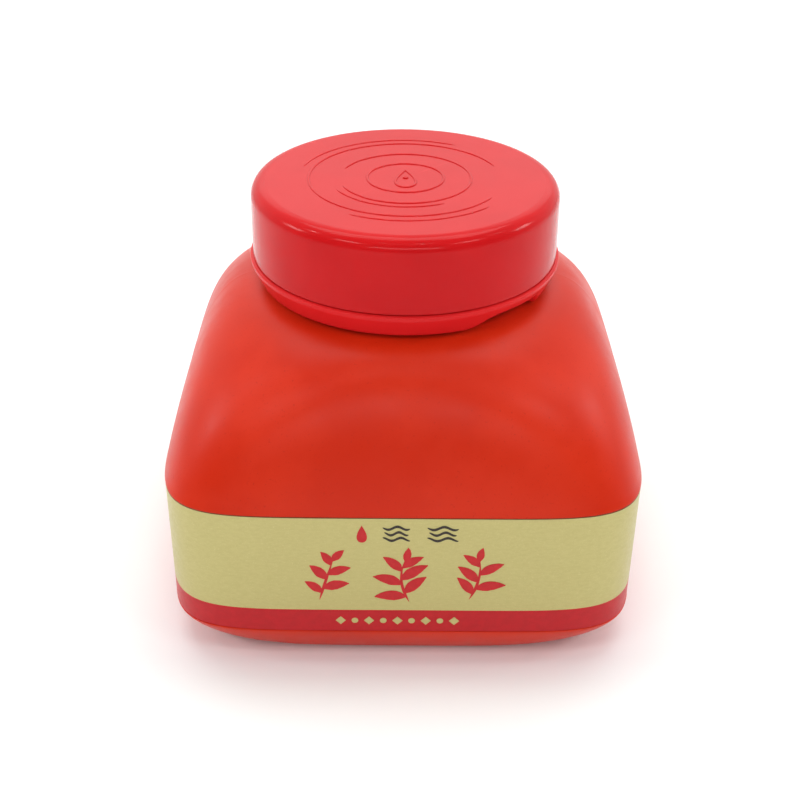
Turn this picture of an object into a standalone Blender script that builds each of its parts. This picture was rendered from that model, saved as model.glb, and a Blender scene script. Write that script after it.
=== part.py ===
"""A squat, square, wide-mouth ink bottle with a round screw cap.

The frame: +Z up, origin at the middle of the resting face, the labelled front towards -Y.
Lengths below are millimetres; they become metres where a mesh is made.
The cap leaves the neck on a right-hand thread: one turn to the left lifts it by THREAD_PITCH.
"""

import math

import bmesh
import bpy

MM = 0.001
TURN = 2.0 * math.pi

# Driving dimensions of the square body.
BODY_HALF = 40.0            # half of the width over the label
BODY_EXPONENT = 6.74        # squareness of the body's section: 2 is a circle
FOOT_HALF = 35.9            # half of the width over the resting face
FOOT_EXPONENT = 4.4         # the resting face has rounder corners
LABEL_TOP = 30.3
LABEL_BOTTOM = 7.0
SHOULDER_RISE = 24.0        # from the label's top edge to the root of the neck
SHOULDER_ROOT = 21.2        # radius that the shoulder's curve runs to, inside the neck
SHOULDER_START = 1.05       # how soon the wall begins to lean in
SHOULDER_FULLNESS = 3.09    # how late the shoulder rolls over to the flat top
SHOULDER_ROUNDING = 4.0     # how fast the square section turns into the round neck
CORNER_DEPTH = 6.7          # height of the tapered foot
CORNER_FULLNESS = 1.2       # bulge of the foot's taper: 1 is straight, 2 is round
BODY_WALL = 1.2
BASE_WALL = 1.6
PUSH_UP = 1.4               # the base's middle stands off the table by this much
PUSH_UP_HALF = 28.5

# Fits.
GAP = 0.3                   # left between pieces that touch
LABEL_THICKNESS = 0.25
LABEL_RECESS = GAP + LABEL_THICKNESS
LEDGE_SLOPE = 0.05          # height of the recess's top and bottom steps
LABEL_SEAM = 0.8            # the label's two ends stop this far apart at the back

# Neck, its bore and its snap bead.
NECK_RADIUS = 22.0
NECK_BORE = 20.0
NECK_TOP = 67.3
NECK_CHAMFER = 0.5
BEAD_HEIGHT = 57.2
BEAD_DEPTH = 0.7

# Screw thread.
THREAD_PITCH = 4.2
THREAD_TURNS = 1.1
THREAD_START = 60.6         # middle of the neck thread's lowest end
THREAD_ROOT_WIDTH = 2.7
THREAD_CREST_WIDTH = 1.4
THREAD_BURIED = 0.5         # how deep a thread's foot reaches into its wall
THREAD_END_SHARE = 0.35     # height of a thread's faded ends, as a share of the whole rib
NECK_THREAD_CREST = 23.1
CAP_THREAD_CREST = 22.4

# Collar ring.
COLLAR_TOP = 58.7
COLLAR_BOTTOM = 54.6
COLLAR_LIP_RADIUS = 26.5
COLLAR_FOOT_RADIUS = 24.5
COLLAR_WALL = 1.5
COLLAR_BORE = 22.35         # passes the neck but not its bead
COLLAR_WEB = 1.5
COLLAR_BREAK = 0.3          # its two outer edges are broken by this much
NOTCH_CENTRE = 42.0         # degrees from the front, towards the right
NOTCH_WIDTH = 30.0
NOTCH_HEIGHT = 2.3
NOTCH_FLOOR = 23.6          # radius at which the notch stops
NOTCH_ROUNDING = 0.8
NOTCH_OVERRUN = 1.0         # the cutter stands out from the collar by this much

# Cap.
CAP_RADIUS = 25.9
CAP_MOUTH_RADIUS = 26.0
CAP_BORE = 23.8
CAP_BOTTOM = COLLAR_TOP + GAP
CAP_TOP = 71.4
CAP_EDGE = 2.3
CAP_ROOF = 1.4
CAP_CHAMFER = 0.3
CAP_RIPPLE_HEIGHT = 0.2
CAP_RIPPLE_WIDTH = 0.8
CAP_RIPPLE_RADII = (6.4, 16.2)

# Liner and mouth insert.
LINER_RADIUS = 23.3         # wider than the cap's thread, which holds it in
LINER_THICKNESS = 1.0
PLUG_FLANGE_RADIUS = 21.8
PLUG_FLANGE = 0.8
PLUG_WALL = 1.0
PLUG_LENGTH = 9.0
PLUG_MOUTH = 14.0
PLUG_LIP_DEPTH = 4.0        # from the flange down to the lip's root
PLUG_LIP_DROP = 1.5         # the lip slopes this far down to its edge

# Ink.
INK_LEVEL = 40.0

# Fineness of the round shapes.
AROUND = 48
SHOULDER_RINGS = 11
CORNER_RINGS = 4
INK_RINGS = 5
CAP_EDGE_STEPS = 5
CORNER_CROWDING = 0.1       # moves section points towards the body's corners
THREAD_STEPS = 32           # for each turn
THREAD_FADE_STEPS = 5       # a thread rises to its full height over these
SMOOTH_DEGREES = 35.0       # edges sharper than this stay hard
MERGE_DISTANCE = 0.00001

COLOURS = {
    "bottle_body": ((0.62, 0.033, 0.012), 0.42),
    "label_wrap": ((0.56, 0.49, 0.21), 0.35),
    "ink_fill": ((0.40, 0.020, 0.010), 0.20),
    "inner_plug": ((0.85, 0.85, 0.83), 0.45),
    "collar_ring": ((0.50, 0.012, 0.014), 0.28),
    "cap_liner": ((0.80, 0.80, 0.78), 0.60),
    "cap_shell": ((0.56, 0.014, 0.016), 0.25),
}


def clear_scene():
    for item in list(bpy.data.objects):
        bpy.data.objects.remove(item, do_unlink=True)


def new_collection(name):
    collection = bpy.data.collections.new(name)
    bpy.context.scene.collection.children.link(collection)
    return collection


def plastic(name):
    colour, roughness = COLOURS[name]
    material = bpy.data.materials.new(name)
    material.use_nodes = True
    shader = material.node_tree.nodes["Principled BSDF"]
    shader.inputs["Base Color"].default_value = (*colour, 1.0)
    shader.inputs["Roughness"].default_value = roughness
    shader.inputs["Metallic"].default_value = 0.0
    return material


def object_from_mesh(name, mesh, collection):
    item = bpy.data.objects.new(name, mesh)
    collection.objects.link(item)
    return item


def finish_piece(item):
    item.data.materials.clear()
    item.data.materials.append(plastic(item.name))
    item.data.shade_smooth()
    item.data.set_sharp_from_angle(angle=math.radians(SMOOTH_DEGREES))


# ---------------------------------------------------------------- sections of the square body

def section_angles():
    """Polar angles round a section, closer together at the body's four corners."""
    steps = [TURN * i / AROUND for i in range(AROUND)]
    return [t + CORNER_CROWDING * math.sin(4.0 * t) for t in steps]


def section_ring(half, exponent, height, angles):
    """Points of the superellipse |x/half|^n + |y/half|^n = 1 at the given polar angles."""
    ring = []
    for angle in angles:
        spread = abs(math.cos(angle)) ** exponent + abs(math.sin(angle)) ** exponent
        radius = half * spread ** (-1.0 / exponent)
        ring.append((radius * math.cos(angle), radius * math.sin(angle), height))
    return ring


def shoulder_section(rise, inset):
    """(half width, exponent, height) of the shoulder at rise 0 (wall) to 1 (neck)."""
    width = (1.0 - rise ** SHOULDER_START) ** (1.0 / SHOULDER_FULLNESS)
    half = max(NECK_RADIUS, SHOULDER_ROOT + (BODY_HALF - SHOULDER_ROOT) * width) - inset
    exponent = 2.0 + (BODY_EXPONENT - 2.0) * width ** SHOULDER_ROUNDING
    height = LABEL_TOP + (SHOULDER_RISE - inset) * rise
    return half, exponent, height


def shoulder_sections(inset):
    """Sections up the shoulder, closer together where it rolls over to the top."""
    sections = []
    for i in range(1, SHOULDER_RINGS + 1):
        rise = math.sin(0.25 * TURN * i / SHOULDER_RINGS)
        sections.append(shoulder_section(rise, inset))
    return sections


def corner_sections(inset):
    """Sections of the tapered foot, from the resting face up to the wall."""
    sections = []
    for i in range(CORNER_RINGS + 1):
        turn = 0.25 * TURN * i / CORNER_RINGS
        out = math.sin(turn) ** (2.0 / CORNER_FULLNESS)
        down = math.cos(turn) ** (2.0 / CORNER_FULLNESS)
        half = FOOT_HALF - inset + (BODY_HALF - FOOT_HALF) * out
        exponent = FOOT_EXPONENT + (BODY_EXPONENT - FOOT_EXPONENT) * out
        height = CORNER_DEPTH - (CORNER_DEPTH - inset) * down
        sections.append((half, exponent, height))
    return sections


def loft(rings):
    """A closed skin over a list of rings of equal length, with its first and last filled."""
    work = bmesh.new()
    loops = [[work.verts.new([MM * c for c in point]) for point in ring] for ring in rings]
    for lower, upper in zip(loops, loops[1:]):
        for i in range(len(lower)):
            j = (i + 1) % len(lower)
            work.faces.new((lower[i], lower[j], upper[j], upper[i]))
    work.faces.new(list(reversed(loops[0])))
    work.faces.new(loops[-1])
    bmesh.ops.recalc_face_normals(work, faces=work.faces)
    return work


def mesh_from(work, name):
    mesh = bpy.data.meshes.new(name)
    work.to_mesh(mesh)
    work.free()
    return mesh


# ---------------------------------------------------------------- turned pieces and threads

def turned(name, profile, collection):
    """A closed profile of (radius, height) points, turned about Z by a Screw modifier.

    The profile runs down the outer side and back up the inner side.
    """
    work = bmesh.new()
    points = [work.verts.new((MM * radius, 0.0, MM * height)) for radius, height in profile]
    closed = profile[0][0] > 0.0 or profile[-1][0] > 0.0
    last = len(points) if closed else len(points) - 1
    for i in range(last):
        work.edges.new((points[i], points[(i + 1) % len(points)]))
    item = object_from_mesh(name, mesh_from(work, name), collection)
    screw = item.modifiers.new("turn", "SCREW")
    screw.axis = "Z"
    screw.steps = AROUND
    screw.render_steps = AROUND
    screw.use_merge_vertices = True
    screw.merge_threshold = MERGE_DISTANCE
    return item


def thread_solid(name, foot_radius, crest_radius, start_height, phase, collection):
    """A helical rib of trapezoid section whose two ends fade into the wall."""
    steps = int(THREAD_STEPS * THREAD_TURNS)
    work = bmesh.new()
    rings = []
    for i in range(steps + 1):
        angle = phase + TURN * i / THREAD_STEPS
        middle = start_height + THREAD_PITCH * i / THREAD_STEPS
        strength = min(1.0, (min(i, steps - i) + 1) / THREAD_FADE_STEPS)
        crest = foot_radius + (crest_radius - foot_radius) * max(THREAD_END_SHARE, strength)
        root = 0.5 * THREAD_ROOT_WIDTH
        tip = 0.5 * THREAD_CREST_WIDTH
        corners = ((foot_radius, -root), (crest, -tip), (crest, tip), (foot_radius, root))
        rings.append([
            work.verts.new((
                MM * radius * math.cos(angle),
                MM * radius * math.sin(angle),
                MM * (middle + offset),
            ))
            for radius, offset in corners
        ])
    for lower, upper in zip(rings, rings[1:]):
        for i in range(len(lower)):
            j = (i + 1) % len(lower)
            work.faces.new((lower[i], lower[j], upper[j], upper[i]))
    work.faces.new(list(reversed(rings[0])))
    work.faces.new(rings[-1])
    bmesh.ops.recalc_face_normals(work, faces=work.faces)
    item = object_from_mesh(name, mesh_from(work, name), collection)
    mark_as_guide(item)
    return item


def mark_as_guide(item):
    item.hide_render = True
    item.display_type = "WIRE"


def combine(item, other, operation):
    """A Boolean of item with other, kept as a modifier."""
    boolean = item.modifiers.new(other.name, "BOOLEAN")
    boolean.operation = operation
    boolean.solver = "EXACT"
    boolean.object = other


# ---------------------------------------------------------------- the pieces

def make_bottle(parts, cutters):
    angles = section_angles()
    sections = [(PUSH_UP_HALF, FOOT_EXPONENT, PUSH_UP)]
    sections.append((PUSH_UP_HALF + PUSH_UP, FOOT_EXPONENT, 0.0))
    sections += corner_sections(0.0)
    ledge_high = LABEL_TOP + GAP
    sections.append((BODY_HALF - LABEL_RECESS, BODY_EXPONENT, CORNER_DEPTH + LEDGE_SLOPE))
    sections.append((BODY_HALF - LABEL_RECESS, BODY_EXPONENT, ledge_high - LEDGE_SLOPE))
    sections.append((BODY_HALF, BODY_EXPONENT, ledge_high))
    sections += shoulder_sections(0.0)
    top = sections[-1][2]
    sections += [
        (NECK_RADIUS, 2.0, BEAD_HEIGHT - BEAD_DEPTH),
        (NECK_RADIUS + BEAD_DEPTH, 2.0, BEAD_HEIGHT - 0.5 * BEAD_DEPTH),
        (NECK_RADIUS + BEAD_DEPTH, 2.0, BEAD_HEIGHT),
        (NECK_RADIUS, 2.0, BEAD_HEIGHT + BEAD_DEPTH),
        (NECK_RADIUS, 2.0, NECK_TOP - NECK_CHAMFER),
        (NECK_RADIUS - NECK_CHAMFER, 2.0, NECK_TOP),
        (NECK_BORE, 2.0, NECK_TOP),
        (NECK_BORE, 2.0, top - BODY_WALL),
    ]
    sections += inner_sections()
    rings = [section_ring(half, exponent, height, angles) for half, exponent, height in sections]
    body = object_from_mesh("bottle_body", mesh_from(loft(rings), "bottle_body"), parts)
    thread = thread_solid(
        "neck_thread",
        NECK_RADIUS - THREAD_BURIED,
        NECK_THREAD_CREST,
        THREAD_START,
        0.0,
        cutters,
    )
    combine(body, thread, "UNION")
    return body


def inner_sections():
    """The hollow's sections from the neck's bore down to the floor of the bottle."""
    inset = BODY_WALL + LABEL_RECESS
    sections = []
    for half, exponent, height in reversed(shoulder_sections(inset)[:-1]):
        sections.append((half, exponent, height))
    sections.append((BODY_HALF - inset, BODY_EXPONENT, LABEL_TOP))
    sections += reversed(corner_sections(inset))
    sections.append((PUSH_UP_HALF, FOOT_EXPONENT, PUSH_UP + BASE_WALL))
    return sections


def make_label(parts):
    """An open band round the body, its ends at the back, thickened inwards."""
    seam = 0.5 * LABEL_SEAM / BODY_HALF
    back = 0.25 * TURN
    body_angles = section_angles()
    quarter = AROUND // 4
    angles = [back + seam]
    angles += [body_angles[i % AROUND] for i in range(quarter + 1, quarter + AROUND)]
    angles.append(back - seam)
    work = bmesh.new()
    rows = []
    for height in (LABEL_BOTTOM, LABEL_TOP):
        ring = section_ring(BODY_HALF, BODY_EXPONENT, height, angles)
        rows.append([work.verts.new([MM * c for c in point]) for point in ring])
    for i in range(len(angles) - 1):
        work.faces.new((rows[0][i], rows[0][i + 1], rows[1][i + 1], rows[1][i]))
    label = object_from_mesh("label_wrap", mesh_from(work, "label_wrap"), parts)
    thicken = label.modifiers.new("thickness", "SOLIDIFY")
    thicken.thickness = MM * LABEL_THICKNESS
    thicken.offset = -1.0
    return label


def make_ink(parts):
    inset = BODY_WALL + LABEL_RECESS + GAP
    angles = section_angles()
    sections = [(PUSH_UP_HALF, FOOT_EXPONENT, PUSH_UP + BASE_WALL + GAP)]
    sections += corner_sections(inset)
    sections.append((BODY_HALF - inset, BODY_EXPONENT, LABEL_TOP))
    top_rise = (INK_LEVEL - LABEL_TOP) / (SHOULDER_RISE - inset)
    for i in range(1, INK_RINGS + 1):
        sections.append(shoulder_section(top_rise * i / INK_RINGS, inset))
    rings = [section_ring(half, exponent, height, angles) for half, exponent, height in sections]
    return object_from_mesh("ink_fill", mesh_from(loft(rings), "ink_fill"), parts)


def make_plug(parts):
    flange_low = NECK_TOP + GAP
    flange_high = flange_low + PLUG_FLANGE
    outer = NECK_BORE - GAP
    inner = outer - PLUG_WALL
    foot = flange_low - PLUG_LENGTH
    lip = flange_low - PLUG_LIP_DEPTH
    profile = [
        (PLUG_FLANGE_RADIUS, flange_high),
        (PLUG_FLANGE_RADIUS, flange_low),
        (outer, flange_low),
        (outer, foot),
        (inner, foot),
        (inner, lip - PLUG_WALL),
        (PLUG_MOUTH, lip - PLUG_WALL - PLUG_LIP_DROP),
        (PLUG_MOUTH, lip - PLUG_LIP_DROP),
        (inner, lip),
        (inner, flange_high),
    ]
    return turned("inner_plug", profile, parts)


def make_collar(parts, cutters):
    inner_top = COLLAR_LIP_RADIUS - COLLAR_WALL
    inner_low = COLLAR_FOOT_RADIUS - COLLAR_WALL
    profile = [
        (COLLAR_LIP_RADIUS - COLLAR_BREAK, COLLAR_TOP),
        (COLLAR_LIP_RADIUS, COLLAR_TOP - COLLAR_BREAK),
        (COLLAR_FOOT_RADIUS + COLLAR_BREAK, COLLAR_BOTTOM + COLLAR_BREAK),
        (COLLAR_FOOT_RADIUS, COLLAR_BOTTOM),
        (COLLAR_BORE, COLLAR_BOTTOM),
        (COLLAR_BORE, COLLAR_BOTTOM + COLLAR_WEB),
        (inner_low, COLLAR_BOTTOM + COLLAR_WEB),
        (inner_top, COLLAR_TOP),
    ]
    collar = turned("collar_ring", profile, parts)
    combine(collar, notch_cutter(cutters), "DIFFERENCE")
    return collar


def notch_cutter(cutters):
    """A rounded block that cuts the collar's lower edge at the front right."""
    turn = math.radians(NOTCH_CENTRE)
    reach = COLLAR_LIP_RADIUS + NOTCH_OVERRUN - NOTCH_FLOOR
    middle = NOTCH_FLOOR + 0.5 * reach
    width = COLLAR_FOOT_RADIUS * math.radians(NOTCH_WIDTH)
    height = 2.0 * NOTCH_HEIGHT
    mesh = bpy.data.meshes.new("notch_cutter")
    work = bmesh.new()
    bmesh.ops.create_cube(work, size=1.0)
    for vert in work.verts:
        vert.co.x *= MM * width
        vert.co.y *= MM * reach
        vert.co.z *= MM * height
    work.to_mesh(mesh)
    work.free()
    cutter = object_from_mesh("notch_cutter", mesh, cutters)
    cutter.location = (
        MM * middle * math.sin(turn),
        -MM * middle * math.cos(turn),
        MM * (COLLAR_BOTTOM + NOTCH_HEIGHT - 0.5 * height),
    )
    cutter.rotation_euler.z = turn
    rounding = cutter.modifiers.new("rounding", "BEVEL")
    rounding.width = MM * NOTCH_ROUNDING
    rounding.segments = 2
    mark_as_guide(cutter)
    return cutter


def make_liner(parts):
    top = CAP_TOP - CAP_ROOF - GAP
    profile = [
        (0.0, top),
        (LINER_RADIUS, top),
        (LINER_RADIUS, top - LINER_THICKNESS),
        (0.0, top - LINER_THICKNESS),
    ]
    return turned("cap_liner", profile, parts)


def cap_top_profile():
    """The cap's top from its middle out, with its low raised rings, and its round edge."""
    points = [(0.0, CAP_TOP)]
    for radius in CAP_RIPPLE_RADII:
        points.append((radius - CAP_RIPPLE_WIDTH, CAP_TOP))
        points.append((radius, CAP_TOP + CAP_RIPPLE_HEIGHT))
        points.append((radius + CAP_RIPPLE_WIDTH, CAP_TOP))
    for i in range(CAP_EDGE_STEPS + 1):
        turn = 0.25 * TURN * i / CAP_EDGE_STEPS
        radius = CAP_RADIUS - CAP_EDGE * (1.0 - math.sin(turn))
        points.append((radius, CAP_TOP - CAP_EDGE * (1.0 - math.cos(turn))))
    return points


def make_cap(parts, cutters):
    roof = CAP_TOP - CAP_ROOF
    profile = cap_top_profile()
    profile += [
        (CAP_MOUTH_RADIUS, CAP_BOTTOM + CAP_CHAMFER),
        (CAP_MOUTH_RADIUS - CAP_CHAMFER, CAP_BOTTOM),
        (CAP_BORE + CAP_CHAMFER, CAP_BOTTOM),
        (CAP_BORE, CAP_BOTTOM + CAP_CHAMFER),
        (CAP_BORE, roof - CAP_CHAMFER),
        (CAP_BORE - CAP_CHAMFER, roof),
        (0.0, roof),
    ]
    cap = turned("cap_shell", profile, parts)
    thread = thread_solid(
        "cap_thread",
        CAP_BORE + THREAD_BURIED,
        CAP_THREAD_CREST,
        THREAD_START,
        0.5 * TURN,
        cutters,
    )
    combine(cap, thread, "UNION")
    return cap


def main():
    clear_scene()
    parts = new_collection("ink_bottle")
    cutters = new_collection("cutters")
    pieces = [
        make_bottle(parts, cutters),
        make_label(parts),
        make_ink(parts),
        make_plug(parts),
        make_collar(parts, cutters),
        make_liner(parts),
        make_cap(parts, cutters),
    ]
    for piece in pieces:
        finish_piece(piece)


main()
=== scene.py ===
"""The looks of the ink bottle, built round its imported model.

Units: metres in the scene. The shape constants are millimetres and pass through MM.
The labelled front faces -Y and +Z is up.
"""
import math

import bmesh
import bpy
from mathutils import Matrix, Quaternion, Vector, noise


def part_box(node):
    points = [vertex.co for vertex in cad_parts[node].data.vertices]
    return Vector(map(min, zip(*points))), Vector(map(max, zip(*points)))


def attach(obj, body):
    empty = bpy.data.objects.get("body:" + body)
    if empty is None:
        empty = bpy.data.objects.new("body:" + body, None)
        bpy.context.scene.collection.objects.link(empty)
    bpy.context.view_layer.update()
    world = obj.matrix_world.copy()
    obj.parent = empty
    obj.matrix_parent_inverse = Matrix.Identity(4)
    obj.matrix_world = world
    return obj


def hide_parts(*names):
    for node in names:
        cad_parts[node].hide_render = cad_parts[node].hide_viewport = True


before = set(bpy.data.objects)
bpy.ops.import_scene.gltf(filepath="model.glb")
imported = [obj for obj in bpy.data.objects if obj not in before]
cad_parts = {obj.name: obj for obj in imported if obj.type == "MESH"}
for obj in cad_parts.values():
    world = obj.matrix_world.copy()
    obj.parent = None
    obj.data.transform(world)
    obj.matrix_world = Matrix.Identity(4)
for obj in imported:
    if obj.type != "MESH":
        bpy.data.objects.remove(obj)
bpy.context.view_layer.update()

MM = 0.001
TURN = 2.0 * math.pi

# ---------------------------------------------------------------- sizes, from the frame


def mm_box(node):
    """A node's lowest and highest corner at rest, in millimetres."""
    low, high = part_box(node)
    return low / MM, high / MM


BODY_HIGH = mm_box("bottle_body")[1]
LABEL_LOW, LABEL_HIGH = mm_box("label_wrap")
COLLAR_LOW, COLLAR_HIGH = mm_box("collar_ring")
CAP_LOW, CAP_HIGH = mm_box("cap_shell")
PLUG_LOW, PLUG_HIGH = mm_box("inner_plug")
LINER_LOW, LINER_HIGH = mm_box("cap_liner")
INK_HIGH = mm_box("ink_fill")[1]

# The body's shape, as the design has it.
BODY_HALF = LABEL_HIGH.x
BODY_EXPONENT = 6.74
FOOT_HALF = 35.9
FOOT_EXPONENT = 4.4
SHOULDER_RISE = 24.0
SHOULDER_ROOT = 21.2
SHOULDER_START = 1.05
SHOULDER_FULLNESS = 3.09
SHOULDER_ROUNDING = 4.0
CORNER_DEPTH = 6.7
CORNER_FULLNESS = 1.2       # bulge of the foot's taper: 1 is straight, 2 is round
BODY_WALL = 1.2
INNER_INSET = 1.75          # from the outer shape in to the hollow
PANEL_DEPTH = 0.40
PANEL_MARGIN = 0.12         # from the label's edges to the panel's steps
PUSH_UP = 1.4
PUSH_UP_HALF = 28.5
FLOOR_HEIGHT = 3.0          # of the hollow's floor
RIDGE_HEIGHT = 0.03         # the mould's parting line stands this proud

# Neck and thread.
NECK_RADIUS = 22.0
NECK_BORE = 20.0
BEAD_HEIGHT = 57.2
BEAD_DEPTH = 0.7
THREAD_PITCH = 4.2
THREAD_TURNS = 1.1
THREAD_START = 60.6
THREAD_ROOT_WIDTH = 2.7
THREAD_CREST_WIDTH = 1.4
NECK_THREAD_DEPTH = 1.1
CAP_THREAD_DEPTH = 1.4
RIM_HEIGHT = 0.6            # the neck's plain rim over its threaded stretch

# Collar, cap and its furniture.
COLLAR_FOOT_RADIUS = 24.5
COLLAR_WALL = 1.5
COLLAR_BORE = 22.35
COLLAR_WEB = 1.5
NOTCH_LIFTS = (23.0, 36.0)  # degrees from the front, towards the right
NOTCH_DROPS = (56.0, 59.5)
NOTCH_HEIGHT = 2.3
CAP_RADIUS = 25.9
CAP_FACE = CAP_HIGH.z - 0.2  # the flat of the cap's top, under its raised lines
CAP_EDGE = 2.3
CAP_HANG = 0.12             # the wall's foot reaches this far under the design's
CAP_BORE = 23.8
CAP_ROOF = 1.4
CAP_MOUTH_BREAK = 0.5       # bevel inside the cap's open edge
CAP_THREAD_END = 9.0        # the threaded stretch ends this far over that edge
ROOF_GROOVE = 7.6           # radius of a fine groove in the roof's underside
PLUG_RADIUS = NECK_BORE - 0.3
PLUG_BORE = PLUG_RADIUS - 1.0
PLUG_FLANGE = 0.8
PLUG_MOUTH = 14.0
PLUG_LIP_DEPTH = 4.0        # from the flange down to the wiping lip's root
PLUG_RIDGE = PLUG_BORE + 0.9  # radius of the sealing ridge on the flange
LINER_DENT = 0.18           # how deep that ridge has pressed into the disc

# The relief on the cap's top: half widths and heights of its lines.
RIPPLE_LINE = (0.26, 0.10)
ECHO_LINE = (0.22, 0.08)    # the fainter ripples between the others
DROP_LINE = (0.24, 0.10)
RELIEF_SUNK = 0.08          # a line's feet lie this far under the cap's face

# The printed label.
STRIPE_TOP = 11.5
LABEL_THICKNESS = 0.12
LABEL_LAP = 3.5             # the outer end laps over the inner one by this much
LAP_TUCK = 0.15             # the inner end lies this much deeper
PAPER_SWELL = 0.012         # how far the paper's face wanders
SPRIG_DROP = 0.75           # the sprigs stand this much lower than drawn
MARK_COUNT = 9
MARK_PITCH = 2.35
MARKS_MIDDLE = -0.8
PAINTED_SHADOW_WIDTH = 0.10            # width of the dark line along the label's top edge: a painted shadow of the gap above it
LABEL_SKIN = 0.03           # the paper's face lies this far under the panel's rim
PRINT_FILM = 0.02           # the lowest printing stands this far off the paper
PRINT_LAYER = 0.004         # and each shape this much further than the one before
PRINT_LAYERS = 10           # after this many shapes the layers start again

# How finely the shapes are drawn.
AROUND = 224
COLLAR_AROUND = 720         # the notch's ends need closer points
CAP_AROUND = 288
INK_AROUND = 120
LABEL_STEPS = 300
SHOULDER_RINGS = 48
FOOT_RINGS = 20
NECK_RINGS = 56
HOLLOW_SHOULDER_RINGS = 14
HOLLOW_FOOT_RINGS = 5
INK_TOP_RINGS = 12
CAP_WALL_RINGS = 60
CAP_EDGE_RINGS = 18
CORNER_CROWDING = 0.1       # moves points round the body towards its corners
SHARP_DEGREES = 38.0        # edges sharper than this stay hard

# The camera, in metres and degrees; its sensor and lens are in millimetres.
CAMERA_SENSOR = 36.0
CAMERA_LENS = 56.63
CAMERA_AZIMUTH = -0.29
CAMERA_ELEVATION = 31.5
CAMERA_ROLL = 0.59
CAMERA_TARGET = (-0.000543, 0.0, 0.0277)
CAMERA_DISTANCE = 0.2334

# Each light's name, place, size and power, in metres and watts.
LIGHT_TARGET = (0.0, 0.0, 0.04)
LIGHTS = (
    ("overhead", (0.0, 0.28, 0.88), (0.90, 0.45), 3.7),
    ("back_panel", (0.0, 0.76, 0.52), (0.90, 0.34), 0.5),
    ("front_strip", (0.0, -0.84, 0.52), (0.85, 0.05), 1.9),
    ("front_left", (-0.54, -0.48, 0.74), (0.26, 0.08), 0.95),
    ("front_right", (0.58, -0.43, 0.74), (0.26, 0.08), 0.90),
    ("side_left", (-0.84, 0.00, 0.44), (0.22, 0.16), 1.1),
    ("side_right", (0.82, 0.10, 0.44), (0.22, 0.16), 1.0),
    ("glint_left_front", (-0.13, -0.36, 0.86), (0.10, 0.012), 0.26),
    ("glint_left", (-0.62, -0.02, 0.70), (0.03, 0.02), 0.26),
    ("glint_right_front", (0.13, -0.36, 0.86), (0.10, 0.012), 0.26),
    ("glint_right", (0.62, -0.02, 0.70), (0.03, 0.02), 0.26),
)
WORLD_FRONT = 0.20          # strength of the surroundings in front of the bottle
WORLD_BACK = 0.97           # and behind it
FLOOR_REACH = 3.0


def smooth_step(low, high, value):
    share = min(1.0, max(0.0, (value - low) / (high - low)))
    return share * share * (3.0 - 2.0 * share)


# ---------------------------------------------------------------- mesh tools

def new_object(name, vertices, faces, materials=(), face_slots=None):
    """A mesh object from millimetre points."""
    mesh = bpy.data.meshes.new(name)
    mesh.from_pydata([(MM * x, MM * y, MM * z) for x, y, z in vertices], [], faces)
    if face_slots:
        mesh.polygons.foreach_set("material_index", face_slots)
    for material in materials:
        mesh.materials.append(material)
    mesh.shade_smooth()
    mesh.validate()
    item = bpy.data.objects.new(name, mesh)
    bpy.context.scene.collection.objects.link(item)
    return item


def outward(item):
    """Turns all faces to point out, and keeps hard edges hard."""
    work = bmesh.new()
    work.from_mesh(item.data)
    bmesh.ops.recalc_face_normals(work, faces=work.faces)
    work.to_mesh(item.data)
    work.free()
    item.data.set_sharp_from_angle(angle=math.radians(SHARP_DEGREES))
    return item


def ring_faces(ring_count, points, first=0, close=False):
    """Quads between neighbouring rings of equal length; close joins the last to the first."""
    faces = []
    last = ring_count if close else ring_count - 1
    for row in range(last):
        here = first + row * points
        there = first + ((row + 1) % ring_count) * points
        for i in range(points):
            j = (i + 1) % points
            faces.append((here + i, here + j, there + j, there + i))
    return faces


def skin(name, rings, materials, close=False, face_slots=None):
    """A skin over rings of points. Unless it closes on itself, its two ends are filled."""
    points = len(rings[0])
    vertices = [point for ring in rings for point in ring]
    faces = ring_faces(len(rings), points, close=close)
    if not close:
        faces.append(tuple(reversed(range(points))))
        start = (len(rings) - 1) * points
        faces.append(tuple(range(start, start + points)))
    return outward(new_object(name, vertices, faces, materials, face_slots))


def rounded(corners, steps=5, closed=False):
    """A path of (across, up) points from (across, up, radius) corners, with its corners rounded."""
    count = len(corners)
    path = []
    for i, (across, up, radius) in enumerate(corners):
        is_end = not closed and i in (0, count - 1)
        if radius <= 0.0 or is_end:
            path.append((across, up))
            continue
        here = Vector((across, up))
        before = Vector(corners[i - 1][:2]) - here
        after = Vector(corners[(i + 1) % count][:2]) - here
        angle = before.angle(after)
        if angle > math.radians(178.0):
            path.append((across, up))
            continue
        reach = radius / math.tan(0.5 * angle)
        reach = min(reach, 0.49 * before.length, 0.49 * after.length)
        bend = reach * math.tan(0.5 * angle)
        middle = here + (before.normalized() + after.normalized()).normalized() * (
            bend / math.sin(0.5 * angle)
        )
        start = here + before.normalized() * reach - middle
        sweep = start.angle_signed(here + after.normalized() * reach - middle)
        for k in range(steps + 1):
            turn = -sweep * k / steps
            point = middle + Vector((
                start.x * math.cos(turn) - start.y * math.sin(turn),
                start.x * math.sin(turn) + start.y * math.cos(turn),
            ))
            path.append((point.x, point.y))
    return path


def round_ring(radius, height, angles):
    return [(radius * math.cos(a), radius * math.sin(a), height) for a in angles]


def even_angles(count=AROUND):
    return [TURN * i / count for i in range(count)]


def turned(name, corners, materials, steps=5):
    """A closed (radius, height, rounding) outline turned about Z."""
    angles = even_angles()
    path = rounded(corners, steps, closed=True)
    rings = [round_ring(radius, height, angles) for radius, height in path]
    return skin(name, rings, materials, close=True)


# ---------------------------------------------------------------- the body's sections

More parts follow.
